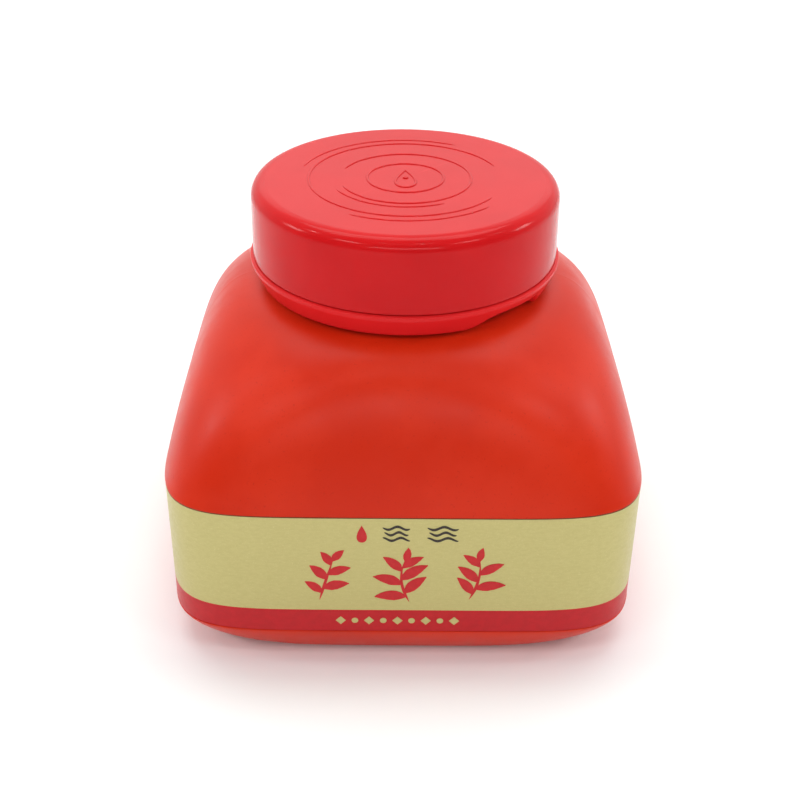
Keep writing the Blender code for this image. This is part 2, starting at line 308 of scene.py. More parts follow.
def section_angles():
    """Angles round the body: closer together at its corners and at the two parting lines."""
    angles = []
    for i in range(AROUND):
        t = TURN * i / AROUND
        angles.append(t + CORNER_CROWDING * math.sin(4.0 * t))
    for side in (0.0, 0.5 * TURN):
        for degrees in (-0.45, -0.25, -0.1, 0.1, 0.25, 0.45):
            angles.append((side + math.radians(degrees)) % TURN)
    return sorted(angles)


def parting_ridge(angle):
    """Height of the mould's parting line, a hair-fine ridge up both sides."""
    off = abs(math.degrees(math.remainder(angle, 0.5 * TURN)))
    return RIDGE_HEIGHT * (1.0 - smooth_step(0.05, 0.4, off))


def section_ring(half, exponent, height, angles, ridge=0.0):
    """The superellipse |x/half|^n + |y/half|^n = 1 at a height."""
    ring = []
    for angle in angles:
        cosine, sine = math.cos(angle), math.sin(angle)
        spread = abs(cosine) ** exponent + abs(sine) ** exponent
        radius = half * spread ** (-1.0 / exponent) + ridge * parting_ridge(angle)
        ring.append((radius * cosine, radius * sine, height))
    return ring


def shoulder_section(rise, inset):
    """Half width, exponent and height of the shoulder, from rise 0 at the wall to 1 at the neck."""
    width = (1.0 - rise ** SHOULDER_START) ** (1.0 / SHOULDER_FULLNESS)
    half = max(NECK_RADIUS, SHOULDER_ROOT + (BODY_HALF - SHOULDER_ROOT) * width) - inset
    exponent = 2.0 + (BODY_EXPONENT - 2.0) * width ** SHOULDER_ROUNDING
    return half, exponent, LABEL_HIGH.z + (SHOULDER_RISE - inset) * rise


def shoulder_sections(inset, steps):
    """The shoulder's sections from the wall up, closer together towards the neck."""
    rises = [math.sin(0.25 * TURN * i / steps) for i in range(1, steps + 1)]
    return [shoulder_section(rise, inset) for rise in rises]


def corner_sections(inset, steps):
    """The tapered foot, from the resting face up to the wall."""
    sections = []
    for i in range(steps + 1):
        turn = 0.25 * TURN * i / steps
        out = math.sin(turn) ** (2.0 / CORNER_FULLNESS)
        down = math.cos(turn) ** (2.0 / CORNER_FULLNESS)
        half = FOOT_HALF - inset + (BODY_HALF - FOOT_HALF) * out
        exponent = FOOT_EXPONENT + (BODY_EXPONENT - FOOT_EXPONENT) * out
        sections.append((half, exponent, CORNER_DEPTH - (CORNER_DEPTH - inset) * down))
    return sections


def base_sections():
    """The pushed-up base and its soft resting rim, from the middle out."""
    rim = PUSH_UP_HALF + 1.9
    path = rounded([
        (PUSH_UP_HALF - 6.0, PUSH_UP, 0.0),
        (PUSH_UP_HALF - 1.0, PUSH_UP, 1.6),
        (rim, 0.0, 0.8),
        (FOOT_HALF - 0.1, 0.0, 0.9),
        (FOOT_HALF + 1.6, 1.6, 0.0),
    ])
    return [(half, FOOT_EXPONENT, height) for half, height in path[:-1]]


def panel_sections():
    """The shallow label panel, with a soft step at its two edges."""
    low, high = LABEL_LOW.z - PANEL_MARGIN, LABEL_HIGH.z + PANEL_MARGIN
    floor_half = BODY_HALF - PANEL_DEPTH
    path = rounded([
        (BODY_HALF, CORNER_DEPTH, 0.0),
        (BODY_HALF, low, 0.08),
        (floor_half, low + 0.1, 0.1),
        (floor_half, high - 0.1, 0.1),
        (BODY_HALF, high, 0.08),
        (shoulder_section(0.016, 0.0)[0], high + 0.3, 0.0),
    ])
    return [(half, BODY_EXPONENT, height) for half, height in path[1:]]


def thread_share(angle, height, start_angle):
    """How much of a helical rib's full height stands at a place on its wall, from 0 to 1."""
    total = THREAD_TURNS * TURN
    fade = TURN / 7.0
    best = 0.0
    along = (angle - start_angle) % TURN
    while along <= total:
        off = abs(height - THREAD_START - THREAD_PITCH * along / TURN)
        flank = 1.0 - smooth_step(0.5 * THREAD_CREST_WIDTH, 0.5 * THREAD_ROOT_WIDTH, off)
        ends = smooth_step(0.0, fade, min(along, total - along))
        best = max(best, flank * ends)
        along += TURN
    return best


def threaded_rings(wall, depth, start_angle, low, high, steps, angles):
    """Rings up a threaded wall. Its rib stands out from the wall, or in if depth is negative."""
    rings = []
    for i in range(1, steps + 1):
        height = low + (high - low) * i / steps
        ring = []
        for angle in angles:
            radius = wall + depth * thread_share(angle, height, start_angle)
            ring.append((radius * math.cos(angle), radius * math.sin(angle), height))
        rings.append(ring)
    return rings


# ---------------------------------------------------------------- materials

class Paint:
    """A Principled material and short ways to add nodes to it."""

    def __init__(self, name, colour, roughness, **uniform):
        self.material = bpy.data.materials.new(name)
        self.material.use_nodes = True
        self.tree = self.material.node_tree
        self.shader = self.tree.nodes["Principled BSDF"]
        self.shader.inputs["Base Color"].default_value = (*colour, 1.0)
        self.shader.inputs["Roughness"].default_value = roughness
        for socket, value in uniform.items():
            self.shader.inputs[socket.replace("_", " ")].default_value = value
        self.place = self.node("ShaderNodeTexCoord").outputs["Object"]

    def node(self, kind, **settings):
        made = self.tree.nodes.new(kind)
        for key, value in settings.items():
            setattr(made, key, value)
        return made

    def link(self, start, end):
        self.tree.links.new(start, end)

    def stretched(self, scale):
        """The place on the object, stretched by a scale for each axis."""
        mapping = self.node("ShaderNodeMapping")
        mapping.inputs["Scale"].default_value = scale
        self.link(self.place, mapping.inputs["Vector"])
        return mapping.outputs["Vector"]

    def noise(self, scale, detail=3.0, roughness=0.5, place=None):
        made = self.node("ShaderNodeTexNoise")
        made.inputs["Scale"].default_value = scale
        made.inputs["Detail"].default_value = detail
        made.inputs["Roughness"].default_value = roughness
        self.link(place or self.place, made.inputs["Vector"])
        return made.outputs["Fac"]

    def ramp(self, value, low, high, start=0.0, end=1.0):
        """value from low..high, mapped to start..end and clamped."""
        made = self.node("ShaderNodeMapRange", interpolation_type="SMOOTHSTEP")
        made.inputs["From Min"].default_value = low
        made.inputs["From Max"].default_value = high
        made.inputs["To Min"].default_value = start
        made.inputs["To Max"].default_value = end
        self.link(value, made.inputs["Value"])
        return made.outputs["Result"]

    def mix(self, share, first, second):
        """A colour between two; each is a socket or a linear colour."""
        made = self.node("ShaderNodeMix", data_type="RGBA")
        self.link(share, made.inputs["Factor"])
        for socket, colour in ((made.inputs["A"], first), (made.inputs["B"], second)):
            if isinstance(colour, tuple):
                socket.default_value = (*colour, 1.0)
            else:
                self.link(colour, socket)
        return made.outputs["Result"]

    def add(self, first, second, operation="ADD"):
        made = self.node("ShaderNodeMath", operation=operation)
        for socket, value in zip(made.inputs, (first, second)):
            if isinstance(value, float):
                socket.default_value = value
            else:
                self.link(value, socket)
        return made.outputs["Value"]

    def colour(self, socket):
        self.link(socket, self.shader.inputs["Base Color"])

    def roughness(self, socket):
        self.link(socket, self.shader.inputs["Roughness"])

    def bump(self, *layers):
        """Bumps from (height socket, depth in millimetres) layers, one on another."""
        below = None
        for height, depth in layers:
            made = self.node("ShaderNodeBump")
            made.inputs["Strength"].default_value = 1.0
            made.inputs["Distance"].default_value = depth * MM
            self.link(height, made.inputs["Height"])
            if below:
                self.link(below, made.inputs["Normal"])
            below = made.outputs["Normal"]
        self.link(below, self.shader.inputs["Normal"])


def wear(paint, low=0.54, high=0.66):
    """How worn a spot is: raised edges, broken up by noise."""
    geometry = paint.node("ShaderNodeNewGeometry")
    edges = paint.ramp(geometry.outputs["Pointiness"], low, high)
    patches = paint.ramp(paint.noise(160.0, 2.0, 0.5), 0.30, 0.75, 0.0, 0.6)
    return paint.add(edges, patches, "MULTIPLY")


def bottle_plastic():
    """Blow-moulded vermilion polyethylene: satin, with a fine mould grain and soft clouding."""
    paint = Paint("bottle_vermilion", (0.62, 0.022, 0.003), 0.36, IOR=1.28)
    paint.shader.inputs["Subsurface Weight"].default_value = 0.06
    paint.shader.inputs["Subsurface Radius"].default_value = (1.0, 0.25, 0.12)
    paint.shader.inputs["Subsurface Scale"].default_value = 1.2 * MM
    paint.shader.inputs["Sheen Weight"].default_value = 0.02
    paint.shader.inputs["Sheen Roughness"].default_value = 0.5
    clouds = paint.ramp(paint.noise(60.0, 4.0, 0.55), 0.35, 0.65)
    base = paint.mix(clouds, (0.595, 0.020, 0.002), (0.650, 0.026, 0.004))
    specks = paint.ramp(paint.noise(2600.0, 2.0), 0.62, 0.76)
    base = paint.mix(specks, base, (0.54, 0.017, 0.002))
    rubbed = paint.mix(wear(paint), base, (0.66, 0.045, 0.012))
    paint.colour(rubbed)
    haze = paint.ramp(paint.noise(240.0, 5.0, 0.6), 0.3, 0.7, 0.32, 0.40)
    scuffs = paint.noise(120.0, 6.0, 0.7, paint.stretched((1.0, 1.0, 9.0)))
    paint.roughness(paint.add(haze, paint.ramp(scuffs, 0.62, 0.74, 0.0, 0.08)))
    grain = paint.noise(5200.0, 2.0, 0.6)
    waves = paint.noise(75.0, 2.0, 0.4)
    paint.bump((waves, 0.10), (grain, 0.012))
    return paint.material


def moulded_red(name, light, dark, roughness, grain_depth=0.004):
    """Injection-moulded polypropylene: glossy, faint flow lines, hair scratches, rubbed edges."""
    paint = Paint(name, light, roughness, IOR=1.23)
    paint.shader.inputs["Subsurface Weight"].default_value = 0.05
    paint.shader.inputs["Subsurface Radius"].default_value = (1.0, 0.2, 0.2)
    paint.shader.inputs["Subsurface Scale"].default_value = 0.9 * MM
    clouds = paint.ramp(paint.noise(85.0, 3.0, 0.5), 0.35, 0.65)
    base = paint.mix(clouds, dark, light)
    paint.colour(paint.mix(wear(paint), base, tuple(1.12 * c + 0.008 for c in light)))
    scratches = paint.noise(260.0, 7.0, 0.75, paint.stretched((6.0, 0.7, 1.0)))
    cross = paint.noise(230.0, 7.0, 0.75, paint.stretched((0.8, 5.0, 1.0)))
    marks = paint.add(
        paint.ramp(scratches, 0.55, 0.80, 0.0, 0.025),
        paint.ramp(cross, 0.55, 0.80, 0.0, 0.02),
    )
    haze = paint.ramp(paint.noise(150.0, 4.0, 0.6), 0.3, 0.7, roughness - 0.01, roughness + 0.02)
    paint.roughness(paint.add(haze, marks))
    flow = paint.noise(55.0, 2.0, 0.45)
    grain = paint.noise(3800.0, 2.0, 0.5)
    paint.bump((flow, 0.03), (grain, grain_depth))
    return paint.material


def gold_paper():
    """Coated pale gold label stock: a fine metallic fleck and paper fibre under a clear varnish."""
    paint = Paint("label_gold", (0.52, 0.46, 0.18), 0.42, Metallic=0.35, IOR=1.48)
    paint.shader.inputs["Coat Weight"].default_value = 0.12
    paint.shader.inputs["Coat Roughness"].default_value = 0.25
    fibre = paint.noise(900.0, 5.0, 0.6, paint.stretched((1.0, 1.0, 3.0)))
    base = paint.mix(paint.ramp(fibre, 0.3, 0.7), (0.495, 0.435, 0.160), (0.530, 0.470, 0.180))
    fleck = paint.ramp(paint.noise(5200.0, 2.0), 0.58, 0.72)
    paint.colour(paint.mix(fleck, base, (0.57, 0.51, 0.215)))
    paint.roughness(paint.ramp(paint.noise(1400.0, 4.0, 0.6), 0.3, 0.7, 0.36, 0.48))
    paint.bump((paint.noise(110.0, 2.0), 0.03), (paint.noise(3600.0, 3.0), 0.005))
    return paint.material


def print_ink(name, first, second, roughness=0.38):
    """Printing on the label: slightly uneven ink under the varnish."""
    paint = Paint(name, first, roughness, IOR=1.33)
    paint.shader.inputs["Coat Weight"].default_value = 0.05
    paint.shader.inputs["Coat Roughness"].default_value = 0.25
    tone = paint.ramp(paint.noise(700.0, 5.0, 0.65), 0.35, 0.65)
    paint.colour(paint.mix(tone, first, second))
    paint.roughness(paint.ramp(paint.noise(1500.0, 3.0), 0.3, 0.7, roughness - 0.04, roughness + 0.05))
    paint.bump((paint.noise(110.0, 2.0), 0.03), (paint.noise(3600.0, 3.0), 0.004))
    return paint.material


def white_polyethylene():
    """The mouth insert: waxy natural white with a few old ink stains near the lip."""
    paint = Paint("insert_white", (0.80, 0.79, 0.76), 0.42, IOR=1.50)
    paint.shader.inputs["Subsurface Weight"].default_value = 0.25
    paint.shader.inputs["Subsurface Radius"].default_value = (1.0, 0.8, 0.6)
    paint.shader.inputs["Subsurface Scale"].default_value = 1.5 * MM
    tone = paint.ramp(paint.noise(130.0, 4.0), 0.35, 0.65)
    base = paint.mix(tone, (0.76, 0.75, 0.71), (0.83, 0.82, 0.80))
    stains = paint.ramp(paint.noise(210.0, 5.0, 0.7), 0.60, 0.66, 0.0, 0.75)
    paint.colour(paint.mix(stains, base, (0.62, 0.10, 0.05)))
    paint.roughness(paint.ramp(paint.noise(300.0, 3.0), 0.3, 0.7, 0.36, 0.50))
    paint.bump((paint.noise(90.0, 2.0), 0.05), (paint.noise(4200.0, 2.0), 0.006))
    return paint.material


def liner_foam():
    """Closed-cell foam with a skin of tiny cells."""
    paint = Paint("liner_foam", (0.78, 0.77, 0.74), 0.62, IOR=1.45)
    cells = paint.node("ShaderNodeTexVoronoi", feature="F1")
    cells.inputs["Scale"].default_value = 1900.0
    paint.link(paint.place, cells.inputs["Vector"])
    tone = paint.ramp(cells.outputs["Distance"], 0.1, 0.6)
    base = paint.mix(tone, (0.70, 0.69, 0.66), (0.82, 0.81, 0.79))
    stains = paint.ramp(paint.noise(160.0, 5.0, 0.7), 0.58, 0.68, 0.0, 0.55)
    paint.colour(paint.mix(stains, base, (0.62, 0.14, 0.08)))
    paint.roughness(paint.ramp(paint.noise(500.0, 3.0), 0.3, 0.7, 0.55, 0.70))
    paint.bump((cells.outputs["Distance"], 0.05), (paint.noise(140.0, 2.0), 0.06))
    return paint.material


def liquid_ink():
    """Wet vermilion ink with slow pigment swirls."""
    paint = Paint("ink_wet", (0.42, 0.018, 0.006), 0.06, IOR=1.36)
    paint.shader.inputs["Coat Weight"].default_value = 0.4
    paint.shader.inputs["Coat Roughness"].default_value = 0.03
    warped = paint.noise(140.0, 6.0, 0.65, paint.stretched((1.0, 2.4, 1.0)))
    paint.colour(paint.mix(paint.ramp(warped, 0.35, 0.65), (0.34, 0.012, 0.005), (0.52, 0.030, 0.010)))
    paint.roughness(paint.ramp(paint.noise(90.0, 2.0), 0.3, 0.7, 0.04, 0.10))
    paint.bump((paint.noise(120.0, 1.0), 0.05))
    return paint.material


# ---------------------------------------------------------------- the bottle

def wall_sections():
    """The outside from the base's middle up to the root of the neck."""
    base = base_sections()
    foot = corner_sections(0.0, FOOT_RINGS)
    clear = base[-1][2] + 0.15
    sections = base + [section for section in foot if section[2] > clear]
    return sections + panel_sections() + shoulder_sections(0.0, SHOULDER_RINGS)


def neck_rings(root, angles):
    """The snap bead and the threaded neck, up from the shoulder's top."""
    bead_outer = NECK_RADIUS + BEAD_DEPTH
    bead = rounded([
        (NECK_RADIUS, root, 0.0),
        (NECK_RADIUS, BEAD_HEIGHT - BEAD_DEPTH, 0.2),
        (bead_outer, BEAD_HEIGHT - 0.4 * BEAD_DEPTH, 0.2),
        (bead_outer, BEAD_HEIGHT, 0.25),
        (NECK_RADIUS, BEAD_HEIGHT + BEAD_DEPTH, 0.3),
        (NECK_RADIUS, BEAD_HEIGHT + 1.2, 0.0),
    ])
    rings = [round_ring(radius, height, angles) for radius, height in bead[1:]]
    low, high = bead[-1][1], BODY_HIGH.z - RIM_HEIGHT
    thread = threaded_rings(NECK_RADIUS, NECK_THREAD_DEPTH, 0.0, low, high, NECK_RINGS, angles)
    return rings + thread


def mouth_rings(root, angles):
    """The neck's rim and bore, down to the shoulder's underside."""
    rim = rounded([
        (NECK_RADIUS, BODY_HIGH.z - RIM_HEIGHT, 0.0),
        (NECK_RADIUS, BODY_HIGH.z, 0.5),
        (NECK_BORE, BODY_HIGH.z, 0.35),
        (NECK_BORE, root - BODY_WALL, 1.0),
        (NECK_BORE + 3.0, root - BODY_WALL - 0.6, 0.0),
    ])
    return [round_ring(radius, height, angles) for radius, height in rim[1:-1]]


def hollow_sections():
    """The hollow from under the shoulder down to its floor."""
    shoulder = shoulder_sections(INNER_INSET, HOLLOW_SHOULDER_RINGS)[:-1]
    sections = shoulder[::-1]
    sections.append((BODY_HALF - INNER_INSET, BODY_EXPONENT, LABEL_HIGH.z))
    sections += corner_sections(INNER_INSET, HOLLOW_FOOT_RINGS)[::-1]
    sections.append((PUSH_UP_HALF, FOOT_EXPONENT, FLOOR_HEIGHT))
    return sections


def bottle(material):
    """The whole blow-moulded bottle: base, panel, shoulder, threaded neck and hollow inside."""
    angles = section_angles()
    outside = wall_sections()
    root = outside[-1][2]
    rings = [section_ring(half, n, height, angles, 1.0) for half, n, height in outside]
    rings += neck_rings(root, angles)
    rings += mouth_rings(root, angles)
    rings += [section_ring(half, n, height, angles) for half, n, height in hollow_sections()]
    item = skin("bottle_shell", rings, [material])
    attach(item, "bottle")
    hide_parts("bottle_body")


def pinch_scar(material):
    """The raised scar across the base where the mould pinched the tube shut."""
    length, half_width, proud = 44.0, 0.45, 0.35
    steps, sides = 40, 8
    rows = []
    for i in range(steps + 1):
        share = 2.0 * i / steps - 1.0
        size = math.sqrt(max(0.0, 1.0 - share ** 8)) * (0.9 + 0.1 * math.sin(23.0 * share))
        x = 0.5 * length * share
        rows.append([
            (
                x,
                half_width * size * math.cos(0.5 * TURN * k / sides),
                PUSH_UP + 0.05 - (proud + 0.05) * size * math.sin(0.5 * TURN * k / sides),
            )
            for k in range(sides + 1)
        ])
    item = skin("base_pinch_scar", rows[1:-1], [material])
    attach(item, "bottle")


# ---------------------------------------------------------------- the label

def label_point(across, height, lift=0.0):
    """The point of the label's front at a distance across from its middle, and a height."""
    share = min(1.0, abs(across) / BODY_HALF)
    depth = BODY_HALF * (1.0 - share ** BODY_EXPONENT) ** (1.0 / BODY_EXPONENT)
    return across, -depth - lift, height


def label_path():
    """Angles round the label from its inner end, past the front, to its outer end."""
    seam = 0.25 * TURN
    overlap = LABEL_LAP / BODY_HALF
    path = []
    for i in range(LABEL_STEPS + 1):
        share = i / LABEL_STEPS
        t = seam - overlap + (TURN + overlap) * share
        path.append((t + CORNER_CROWDING * math.sin(4.0 * t), share))
    return path


def label(gold, crimson, edge):
    """The wrap-around band; its outer end laps over its inner one in the middle of the back."""
    # The band's topmost strip takes the dark edge material: a painted shadow of the gap between the
    # label's top edge and the panel's step.
    paper, stripe, painted_shadow_line, cut = range(4)
    levels = (
        LABEL_LOW.z,
        STRIPE_TOP,
        0.5 * (STRIPE_TOP + LABEL_HIGH.z),
        LABEL_HIGH.z - PAINTED_SHADOW_WIDTH,
        LABEL_HIGH.z,
    )
    slots_up = (stripe, paper, paper, painted_shadow_line)
    path = label_path()
    vertices = []
    for angle, share in path:
        tuck = LAP_TUCK * (1.0 - smooth_step(0.0, 0.03, share))
        swell = PAPER_SWELL * math.sin(9.0 * angle) * math.sin(3.0 * angle + 1.0)
        for side in (0.0, LABEL_THICKNESS):
            for height in levels:
                half = BODY_HALF - LABEL_SKIN + swell - tuck - side
                vertices.append(section_ring(half, BODY_EXPONENT, height, [angle])[0])
    rows = len(levels)
    faces, slots = [], []
    for i in range(len(path) - 1):
        here, there = i * 2 * rows, (i + 1) * 2 * rows
        for k in range(rows - 1):
            faces.append((here + k, there + k, there + k + 1, here + k + 1))
            faces.append((here + rows + k + 1, there + rows + k + 1, there + rows + k, here + rows + k))
            slots += [slots_up[k], cut]
        faces.append((here, here + rows, there + rows, there))
        faces.append((here + 2 * rows - 1, here + rows - 1, there + rows - 1, there + 2 * rows - 1))
        slots += [cut, cut]
    for start in (0, (len(path) - 1) * 2 * rows):
        outer = list(range(start, start + rows))
        inner = list(range(start + rows, start + 2 * rows))
        faces.append(tuple(outer + inner[::-1]))
        slots.append(cut)
    item = outward(new_object("label_band", vertices, faces, [gold, crimson, edge, edge], slots))
    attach(item, "bottle")
    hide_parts("label_wrap")


def print_shape(name, outlines, material):
    """Printed shapes: closed outlines of (across, height) points laid on the label's front."""
    vertices, faces = [], []
    for number, outline in enumerate(outlines):
        first, count = len(vertices), len(outline)
        lift = PRINT_FILM + PRINT_LAYER * (number % PRINT_LAYERS) - LABEL_SKIN
        vertices += [label_point(x, z, lift) for x, z in outline]
        vertices += [label_point(x, z, -2.0 * LABEL_SKIN) for x, z in outline]
        faces.append(tuple(range(first, first + count)))
        faces.append(tuple(range(first + 2 * count - 1, first + count - 1, -1)))
        for i in range(count):
            j = (i + 1) % count
            faces.append((first + i, first + count + i, first + count + j, first + j))
    item = outward(new_object(name, vertices, faces, [material]))
    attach(item, "bottle")


def bent_line(start, bend, end, share):
    """The point at a share of the way along a bent line, and the heading there."""
    start, bend, end = Vector(start), Vector(bend), Vector(end)
    rest = 1.0 - share
    point = rest * rest * start + 2.0 * share * rest * bend + share * share * end
    heading = rest * (bend - start) + share * (end - bend)
    return point, heading.normalized()


def brush_stroke(start, bend, end, width, belly, ragged, seed):
    """Outline of one tapered brush stroke along a bent line, with slightly ragged edges."""
    steps = 26
    left, right = [], []
    for i in range(steps + 1):
        t = i / steps
        point, heading = bent_line(start, bend, end, t)
        rise = min(1.0, t / belly) if t < belly else (1.0 - t) / (1.0 - belly)
        spread = 0.5 * width * math.sin(0.25 * TURN * max(0.04, rise)) ** 0.8
        wobble = spread + ragged * noise.noise((9.0 * t, seed, 0.0))
        other = spread + ragged * noise.noise((9.0 * t, seed, 5.0))
        left.append((point.x - heading.y * wobble, point.y + heading.x * wobble))
        right.append((point.x + heading.y * other, point.y - heading.x * other))
    return left + right[::-1]


def sprig(foot, bend, tip, leaves, seed):
    """A brush-painted sprig: a bowed stem and leaves along it, as (share, turn, length, width)."""
    outlines = [brush_stroke(foot, bend, tip, 0.5, 0.3, 0.04, seed)]
    for number, (share, degrees, length, width) in enumerate(leaves):
        start, heading = bent_line(foot, bend, tip, share)
        turn = math.radians(degrees)
        ahead = Vector((
            heading.x * math.cos(turn) - heading.y * math.sin(turn),
            heading.x * math.sin(turn) + heading.y * math.cos(turn),
        ))
        side = Vector((-ahead.y, ahead.x)) * math.copysign(0.12 * length, degrees)
        end = start + length * ahead
        middle = start + 0.5 * length * ahead - side
        outlines.append(brush_stroke(start, middle, end, width, 0.42, 0.06, seed + number + 1))
    return outlines


def sprigs():
    """The three painted sprigs in the middle of the label's front."""
    return [
        ((-13.6, 14.4), (-12.4, 19.0), (-11.2, 22.8), [
            (0.16, 64.0, 3.6, 1.6), (0.26, -60.0, 4.4, 1.9), (0.48, 58.0, 3.9, 1.8),
            (0.60, -52.0, 4.0, 1.7), (0.84, 48.0, 3.2, 1.5), (0.95, -22.0, 2.9, 1.4),
        ]),
        ((1.1, 14.1), (-1.1, 18.4), (0.3, 22.6), [
            (0.12, 68.0, 5.2, 2.0), (0.20, -64.0, 4.9, 1.9), (0.42, 62.0, 5.0, 2.0),
            (0.52, -58.0, 5.3, 2.0), (0.74, 52.0, 4.2, 1.7), (0.82, -46.0, 4.1, 1.6),
            (0.99, 6.0, 2.8, 1.3),
        ]),
        ((10.9, 14.7), (12.9, 18.4), (12.4, 22.8), [
            (0.14, 60.0, 4.3, 1.7), (0.28, -62.0, 5.0, 1.9), (0.46, 58.0, 4.6, 1.8),
            (0.64, -54.0, 4.5, 1.7), (0.84, 48.0, 3.7, 1.5), (0.97, -14.0, 2.8, 1.3),
        ]),
    ]


def wave_lines(middle, width, heights, line_width):
    """Short wavy lines, one above another, tapered at both ends."""
    steps = 40
    outlines = []
    for number, height in enumerate(heights):
        upper, lower = [], []
        reach = 0.5 * width * (1.0 - 0.12 * (number % 2))
        for i in range(steps + 1):
            share = 2.0 * i / steps - 1.0
            across = middle + reach * share
            up = height + 0.30 * math.sin(1.5 * math.pi * share + 0.6 * number)
            size = 0.5 * line_width * max(0.12, math.sqrt(1.0 - share ** 4))
            upper.append((across, up + size))
            lower.append((across, up - size))
        outlines.append(upper + lower[::-1])
    return outlines


def drop_outline(middle, size, belly, sharpness, steps):
    """The outline of an ink drop, its tip up."""
    points = []
    for i in range(steps):
        t = TURN * i / steps
        across = belly * size * math.sin(t) * math.sin(0.5 * t) ** sharpness
        points.append((middle[0] - across, middle[1] + size * math.cos(t)))
    return points


def stripe_marks():
    """Dots and small lozenges in turn along the stripe."""
    height = 0.5 * (LABEL_LOW.z + STRIPE_TOP)
    marks = []
    for number in range(MARK_COUNT):
        middle = MARKS_MIDDLE + MARK_PITCH * (number - 0.5 * (MARK_COUNT - 1))
        corners, size = (32, 0.55) if number % 2 else (4, 0.85)
        marks.append([
            (
                middle + size * math.cos(TURN * k / corners),
                height + size * math.sin(TURN * k / corners),
            )
            for k in range(corners)
        ])
    return marks


def label_art(red, dark, gold):
    """Generic printing: three painted sprigs, a drop with wavy lines above, marks on the stripe."""
    outlines = []
    for number, (foot, bend, tip, leaves) in enumerate(sprigs()):
        foot, bend, tip = [(x, z - SPRIG_DROP) for x, z in (foot, bend, tip)]
        outlines += sprig(foot, bend, tip, leaves, 10.0 * number)
    print_shape("label_sprigs", outlines, red)
    heights = (26.2, 27.3, 28.4)
    waves = wave_lines(-1.1, 4.4, heights, 0.50) + wave_lines(6.3, 5.0, heights, 0.50)
    print_shape("label_waves", waves, dark)
    print_shape("label_drop", [drop_outline((-6.6, 27.2), 1.7, 0.66, 1.2, 48)], red)
    print_shape("label_stripe_marks", stripe_marks(), gold)


# ---------------------------------------------------------------- collar, insert, liner, ink

def notch_rise(angle):
    """How far the collar's lower edge is lifted at an angle: a long slope up, a short one down."""
    degrees = math.degrees(math.remainder(angle + 0.25 * TURN, TURN))
    return NOTCH_HEIGHT * (smooth_step(*NOTCH_LIFTS, degrees) - smooth_step(*NOTCH_DROPS, degrees))


def collar(material):
    """The flared collar. Its lower edge lifts into the notch; its upper edge is a thin bright lip."""
    angles = even_angles(COLLAR_AROUND)
    low, high = COLLAR_LOW.z, COLLAR_HIGH.z
    lip = COLLAR_HIGH.x
    path = rounded([
        (lip - COLLAR_WALL + 0.1, high + 0.06, 0.05),
        (lip - 0.5, high + 0.1, 0.1),
        (lip, high - 0.02, 0.25),
        (lip - 0.1, high - 0.75, 0.3),
        (COLLAR_FOOT_RADIUS + 0.5, low + 0.35, 0.6),
        (COLLAR_FOOT_RADIUS - 0.1, low, 0.25),
        (COLLAR_FOOT_RADIUS - COLLAR_WALL, low, 0.2),
        (COLLAR_BORE, low, 0.2),
        (COLLAR_BORE, low + COLLAR_WEB, 0.2),
        (COLLAR_FOOT_RADIUS - COLLAR_WALL, low + COLLAR_WEB, 0.3),
        (lip - COLLAR_WALL, high - 0.15, 0.1),
    ], 6, closed=True)
    # The notch lifts only what is outside one radius and under one height.
    fixed = COLLAR_FOOT_RADIUS - COLLAR_WALL + 0.2
    still = high - 0.9
    rings = []
    for radius, height in path:
        ring = []
        for angle in angles:
            lift = notch_rise(angle) if radius > fixed else 0.0
            share = min(1.0, max(0.0, (still - height) / (still - low)))
            raised = height + lift * share
            pull = lift * share * (lip - COLLAR_FOOT_RADIUS) / (high - low)
            spot = radius + (pull if radius > fixed + 0.4 else 0.0)
            ring.append((spot * math.cos(angle), spot * math.sin(angle), raised))
        rings.append(ring)
    item = skin("neck_collar", rings, [material], close=True)
    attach(item, "bottle")
    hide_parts("collar_ring")


def insert(material):
    """The mouth insert: sealing flange with a fine ridge, wall, and a thin drooping wiping lip."""
    flange_high, foot = PLUG_HIGH.z, PLUG_LOW.z
    flange_low = flange_high - PLUG_FLANGE
    lip = flange_low - PLUG_LIP_DEPTH
    item = turned("mouth_insert", [
        (PLUG_HIGH.x, flange_high - 0.1, 0.25),
        (PLUG_HIGH.x, flange_low, 0.2),
        (PLUG_RADIUS, flange_low, 0.1),
        (PLUG_RADIUS - 0.1, foot + 0.6, 0.2),
        (PLUG_RADIUS - 0.5, foot, 0.2),
        (PLUG_BORE, foot, 0.2),
        (PLUG_BORE, lip - 1.0, 0.5),
        (PLUG_MOUTH + 0.2, lip - 2.4, 0.3),
        (PLUG_MOUTH, lip - 1.7, 0.25),
        (PLUG_BORE, lip, 0.7),
        (PLUG_BORE, flange_high - 0.25, 0.3),
        (PLUG_RIDGE - 0.4, flange_high - 0.2, 0.1),
        (PLUG_RIDGE, flange_high, 0.15),
        (PLUG_RIDGE + 0.4, flange_high - 0.2, 0.1),
    ], [material])
    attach(item, "bottle")
    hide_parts("inner_plug")


def liner(material):
    """The sealing disc, dented where it presses on the insert's ridge."""
    top, low = LINER_HIGH.z, LINER_LOW.z
    edge, middle, margin = LINER_HIGH.x, 0.6, PLUG_RIDGE + 1.8
    path = [(middle, top)]
    path += rounded([(middle, top, 0.0), (edge, top, 0.25), (edge, low, 0.25), (margin, low, 0.0)])[1:]
    path += rounded([
        (margin, low, 0.0),
        (PLUG_RIDGE + 0.8, low, 0.3),
        (PLUG_RIDGE + 0.4, low + LINER_DENT, 0.2),
        (PLUG_RIDGE - 0.4, low + LINER_DENT, 0.2),
        (PLUG_RIDGE - 0.8, low, 0.3),
        (12.0, low + 0.04, 0.0),
        (middle, low + 0.05, 0.0),
    ])[1:]
    angles = even_angles()
    rings = [round_ring(radius, height, angles) for radius, height in path]
    item = skin("cap_seal_disc", rings, [material])
    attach(item, "liner")
    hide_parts("cap_liner")


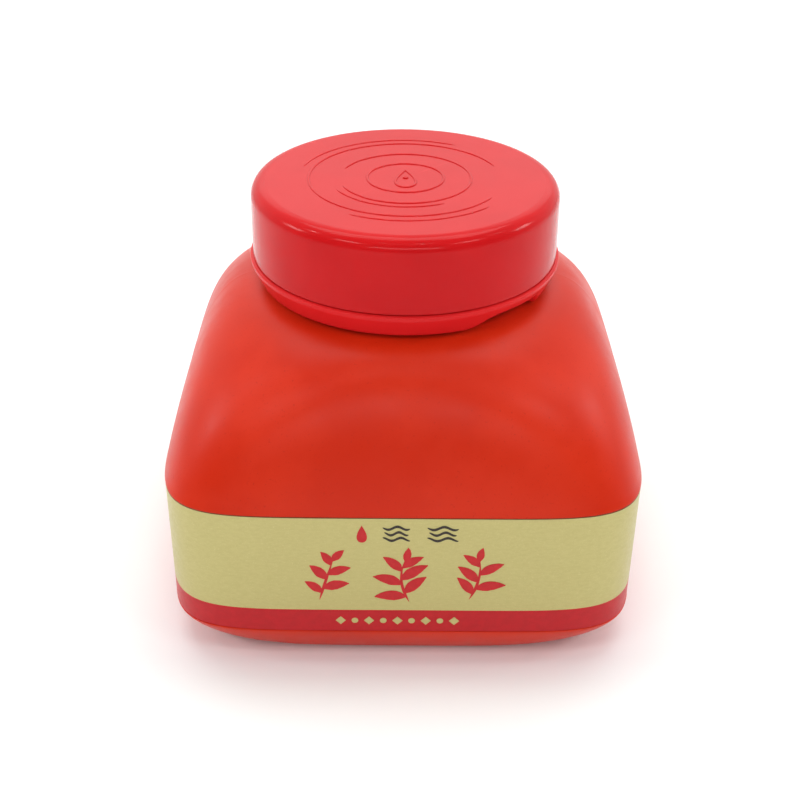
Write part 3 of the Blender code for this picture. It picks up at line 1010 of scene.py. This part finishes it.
def ink(material):
    """The ink, its surface turned up a little where it meets the wall."""
    angles = [a + CORNER_CROWDING * math.sin(4.0 * a) for a in even_angles(INK_AROUND)]
    inset = INNER_INSET + 0.3
    sections = [(PUSH_UP_HALF, FOOT_EXPONENT, FLOOR_HEIGHT + 0.3)]
    sections += corner_sections(inset, HOLLOW_FOOT_RINGS)
    sections.append((BODY_HALF - inset, BODY_EXPONENT, LABEL_HIGH.z))
    top_rise = (INK_HIGH.z - LABEL_HIGH.z) / (SHOULDER_RISE - inset)
    for i in range(1, INK_TOP_RINGS + 1):
        sections.append(shoulder_section(top_rise * i / INK_TOP_RINGS, inset))
    half, exponent, height = sections[-1]
    for inward, drop in ((0.25, 0.10), (0.6, 0.22), (1.2, 0.34), (2.2, 0.42), (4.0, 0.45)):
        sections.append((half - inward, exponent, height - drop))
    sections.append((2.0, 2.0, height - 0.45))
    rings = [section_ring(h, n, z, angles) for h, n, z in sections]
    item = skin("ink_body", rings, [material])
    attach(item, "bottle")
    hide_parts("ink_fill")


# ---------------------------------------------------------------- the cap

def cap_edge():
    """The cap's top from its middle out: a slight dish, a fine break, then the rounded edge."""
    flat = CAP_RADIUS - CAP_EDGE
    points = [(0.4, CAP_FACE - 0.08), (flat - 14.0, CAP_FACE - 0.06), (flat - 4.5, CAP_FACE - 0.04)]
    points += [(flat - 1.5, CAP_FACE - 0.02), (flat - 0.25, CAP_FACE), (flat - 0.05, CAP_FACE)]
    for i in range(CAP_EDGE_RINGS + 1):
        turn = math.radians(6.0 + 84.0 * i / CAP_EDGE_RINGS)
        points.append((
            flat + CAP_EDGE * math.sin(turn),
            CAP_FACE - 0.05 - CAP_EDGE + CAP_EDGE * math.cos(turn),
        ))
    return points


def cap(material):
    """The screw cap: soft-edged top with a slight dish, drafted wall, thread and roof inside."""
    angles = even_angles(CAP_AROUND)
    foot = CAP_LOW.z - CAP_HANG
    low, high = CAP_LOW.z + CAP_MOUTH_BREAK, CAP_LOW.z + CAP_THREAD_END
    roof = CAP_FACE - CAP_ROOF
    wall = rounded([
        (CAP_RADIUS, CAP_FACE - CAP_EDGE - 1.0, 0.0),
        (CAP_HIGH.x, foot + 0.1, 0.12),
        (CAP_HIGH.x - 0.3, foot, 0.1),
        (CAP_BORE + CAP_MOUTH_BREAK, CAP_LOW.z, 0.15),
        (CAP_BORE, low, 0.0),
    ], 12)
    inside = rounded([
        (CAP_BORE, high, 0.0),
        (CAP_BORE, roof, 0.6),
        (ROOF_GROOVE + 0.4, roof, 0.0),
        (ROOF_GROOVE, roof - 0.12, 0.0),
        (ROOF_GROOVE - 0.4, roof, 0.0),
        (0.4, roof, 0.0),
    ])
    rings = [round_ring(radius, height, angles) for radius, height in cap_edge() + wall]
    rings += threaded_rings(CAP_BORE, -CAP_THREAD_DEPTH, 0.5 * TURN, low, high, CAP_WALL_RINGS, angles)
    rings += [round_ring(radius, height, angles) for radius, height in inside[1:]]
    item = skin("screw_cap", rings, [material])
    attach(item, "cap")
    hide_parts("cap_shell")


def raised_line(points, half_width, proud, closed):
    """Vertices and faces of a low raised line on the cap's top, along (x, y) points."""
    count = len(points)
    sides = 7
    vertices, faces = [], []
    for i, (x, y) in enumerate(points):
        before = points[i - 1] if closed or i > 0 else points[i]
        after = points[(i + 1) % count] if closed or i < count - 1 else points[i]
        along = Vector((after[0] - before[0], after[1] - before[1])).normalized()
        across = Vector((-along.y, along.x))
        size = 1.0 if closed else min(1.0, math.sqrt((min(i, count - 1 - i) + 0.3) / 4.0))
        for k in range(sides):
            turn = 0.5 * TURN * k / (sides - 1)
            off = half_width * size * math.cos(turn)
            up = -RELIEF_SUNK + (proud + RELIEF_SUNK) * size * math.sin(turn) ** 1.6
            vertices.append((x + across.x * off, y + across.y * off, CAP_FACE + up))
    spans = count if closed else count - 1
    for i in range(spans):
        here, there = i * sides, ((i + 1) % count) * sides
        for k in range(sides):
            j = (k + 1) % sides
            faces.append((here + k, there + k, there + j, here + j))
    if not closed:
        faces.append(tuple(range(sides)))
        last = (count - 1) * sides
        faces.append(tuple(range(last + sides - 1, last - 1, -1)))
    return vertices, faces


def arc_points(radius, start, end):
    """Points along an arc round the cap's middle, in degrees, about every third of a millimetre."""
    steps = max(12, int(radius * math.radians(abs(end - start)) / 0.35))
    turns = [math.radians(start + (end - start) * i / steps) for i in range(steps + 1)]
    return [(radius * math.cos(t), radius * math.sin(t)) for t in turns]


def cap_relief(material):
    """Moulded relief on the cap: ripples spreading from a drop, and the gate's small nub."""
    lines = [
        (arc_points(6.4, 0.0, 360.0)[:-1], RIPPLE_LINE, True),
        (arc_points(11.0, 200.0, 520.0), RIPPLE_LINE, False),
        (arc_points(12.5, 205.0, 300.0), ECHO_LINE, False),
        (arc_points(16.2, 20.0, 330.0), RIPPLE_LINE, False),
        (arc_points(18.0, 60.0, 165.0), ECHO_LINE, False),
        (arc_points(18.0, 240.0, 318.0), ECHO_LINE, False),
        (drop_outline((0.0, -0.4), 3.8, 0.62, 1.3, 72), DROP_LINE, True),
    ]
    vertices, faces = [], []
    for points, (half_width, proud), closed in lines:
        more, quads = raised_line(points, half_width, proud, closed)
        first = len(vertices)
        vertices += more
        faces += [tuple(first + k for k in face) for face in quads]
    item = outward(new_object("cap_ripple_relief", vertices, faces, [material]))
    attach(item, "cap")
    nub = turned("cap_gate_nub", [
        (0.05, CAP_FACE + 0.12, 0.0),
        (0.42, CAP_FACE + 0.10, 0.1),
        (0.5, CAP_FACE - 0.12, 0.0),
        (0.05, CAP_FACE - 0.12, 0.0),
    ], [material])
    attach(nub, "cap")


# ---------------------------------------------------------------- stage, light and camera

def floor():
    paint = Paint("floor_white", (0.93, 0.93, 0.93), 0.85)
    tone = paint.ramp(paint.noise(3.0, 2.0), 0.3, 0.7)
    paint.colour(paint.mix(tone, (0.92, 0.92, 0.92), (0.94, 0.94, 0.94)))
    mesh = bpy.data.meshes.new("floor")
    corners = [(x * FLOOR_REACH, y * FLOOR_REACH, 0.0) for x, y in ((-1, -1), (1, -1), (1, 1), (-1, 1))]
    mesh.from_pydata(corners, [], [(0, 1, 2, 3)])
    mesh.materials.append(paint.material)
    item = bpy.data.objects.new("floor", mesh)
    bpy.context.scene.collection.objects.link(item)


def surroundings():
    """Soft light from all round, brighter from behind the bottle than from in front of it."""
    world = bpy.data.worlds.new("studio")
    world.use_nodes = True
    tree = world.node_tree
    direction = tree.nodes.new("ShaderNodeTexCoord").outputs["Generated"]
    parts = tree.nodes.new("ShaderNodeSeparateXYZ")
    tree.links.new(direction, parts.inputs["Vector"])
    grade = tree.nodes.new("ShaderNodeMapRange")
    grade.interpolation_type = "SMOOTHSTEP"
    grade.inputs["From Min"].default_value = -0.6
    grade.inputs["From Max"].default_value = 0.6
    grade.inputs["To Min"].default_value = WORLD_FRONT
    grade.inputs["To Max"].default_value = WORLD_BACK
    tree.links.new(parts.outputs["Y"], grade.inputs["Value"])
    glow = tree.nodes["Background"]
    glow.inputs["Color"].default_value = (1.0, 1.0, 1.0, 1.0)
    tree.links.new(grade.outputs["Result"], glow.inputs["Strength"])
    bpy.context.scene.world = world


def area_light(name, place, size, power):
    """A soft rectangular light, aimed at the bottle."""
    data = bpy.data.lights.new(name, "AREA")
    data.shape = "RECTANGLE"
    data.size, data.size_y = size
    data.energy = power
    item = bpy.data.objects.new(name, data)
    item.location = place
    item.rotation_mode = "QUATERNION"
    item.rotation_quaternion = (Vector(LIGHT_TARGET) - Vector(place)).to_track_quat("-Z", "Y")
    bpy.context.scene.collection.objects.link(item)


def camera():
    data = bpy.data.cameras.new("camera")
    data.sensor_width = CAMERA_SENSOR
    data.lens = CAMERA_LENS
    data.clip_start = 0.01
    item = bpy.data.objects.new("camera", data)
    azimuth, elevation = math.radians(CAMERA_AZIMUTH), math.radians(CAMERA_ELEVATION)
    back = Vector((
        math.sin(azimuth) * math.cos(elevation),
        -math.cos(azimuth) * math.cos(elevation),
        math.sin(elevation),
    ))
    item.location = Vector(CAMERA_TARGET) + CAMERA_DISTANCE * back
    item.rotation_mode = "QUATERNION"
    roll = Quaternion((0.0, 0.0, 1.0), math.radians(CAMERA_ROLL))
    item.rotation_quaternion = (-back).to_track_quat("-Z", "Y") @ roll
    bpy.context.scene.collection.objects.link(item)
    bpy.context.scene.camera = item


def build():
    vermilion = bottle_plastic()
    bottle(vermilion)
    pinch_scar(vermilion)

    gold = gold_paper()
    crimson = print_ink("label_crimson", (0.53, 0.006, 0.012), (0.48, 0.005, 0.010))
    red = print_ink("label_red_print", (0.56, 0.014, 0.018), (0.50, 0.010, 0.014))
    dark = print_ink("label_dark_print", (0.030, 0.024, 0.020), (0.045, 0.035, 0.028), 0.45)
    # Dark brown for the paper's cut edges and back, and for the painted shadow line along the label's
    # top edge.
    edge = print_ink("label_cut_edge_and_painted_shadow", (0.20, 0.075, 0.030), (0.26, 0.11, 0.045), 0.6)
    label(gold, crimson, edge)
    label_art(red, dark, gold)

    cap_red = moulded_red("cap_red", (0.60, 0.008, 0.010), (0.57, 0.007, 0.009), 0.14)
    # The collar's red is painted lighter and paler than the cap's: painted light for the light its
    # outward flare catches.
    collar_red_painted_light = moulded_red("collar_red_painted_light", (0.74, 0.018, 0.020), (0.70, 0.016, 0.018), 0.24)
    collar(collar_red_painted_light)
    cap(cap_red)
    cap_relief(cap_red)
    insert(white_polyethylene())
    liner(liner_foam())
    ink(liquid_ink())


def light():
    floor()
    surroundings()
    for name, place, size, power in LIGHTS:
        area_light(name, place, size, power)
    camera()
    bpy.context.scene.view_settings.view_transform = "Standard"


build()
light()
